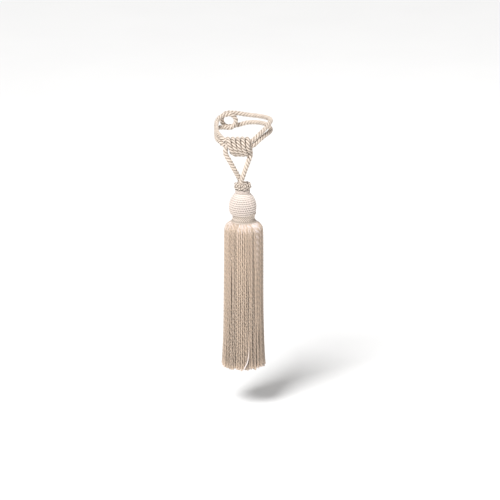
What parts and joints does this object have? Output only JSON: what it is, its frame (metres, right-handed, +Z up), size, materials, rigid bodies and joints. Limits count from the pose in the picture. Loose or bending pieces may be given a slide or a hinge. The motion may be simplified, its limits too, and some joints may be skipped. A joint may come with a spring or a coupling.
{
  "type": "curtain tieback tassel",
  "caption": "Cream twisted-rope curtain tieback with a wound knot, two hook eyes and one long fringed tassel with a netted ball head.",
  "frame": {"origin": "on the hook's axis, where the eyes of the two arms overlap", "axes": "+Z up, +Y from the room towards the wall along the hook's shank, +X to the right seen from the room"},
  "size_m": [0.0822, 0.1109, 0.3506],
  "materials": {
    "rope": "three-strand rope of cream viscose and cotton yarn with a soft sheen",
    "braid": "interlaced cream cords with dark gaps",
    "netting": "fine netted cream yarn stretched over a ball",
    "gimp": "narrow scalloped gimp trimming in rows of small loops",
    "fringe": "satin two-ply beige viscose strands with looped ends"
  },
  "bodies": {
    "root": {"arm_right": "rope", "arm_left": "rope", "wound_knot": "rope", "leg_left": "rope", "leg_right": "rope", "braided_ruff": "braid", "bound_neck": "netting", "netted_ball": "netting", "gimp_collar": "gimp", "fringe_skirt": "fringe"}
  },
  "joints": []
}
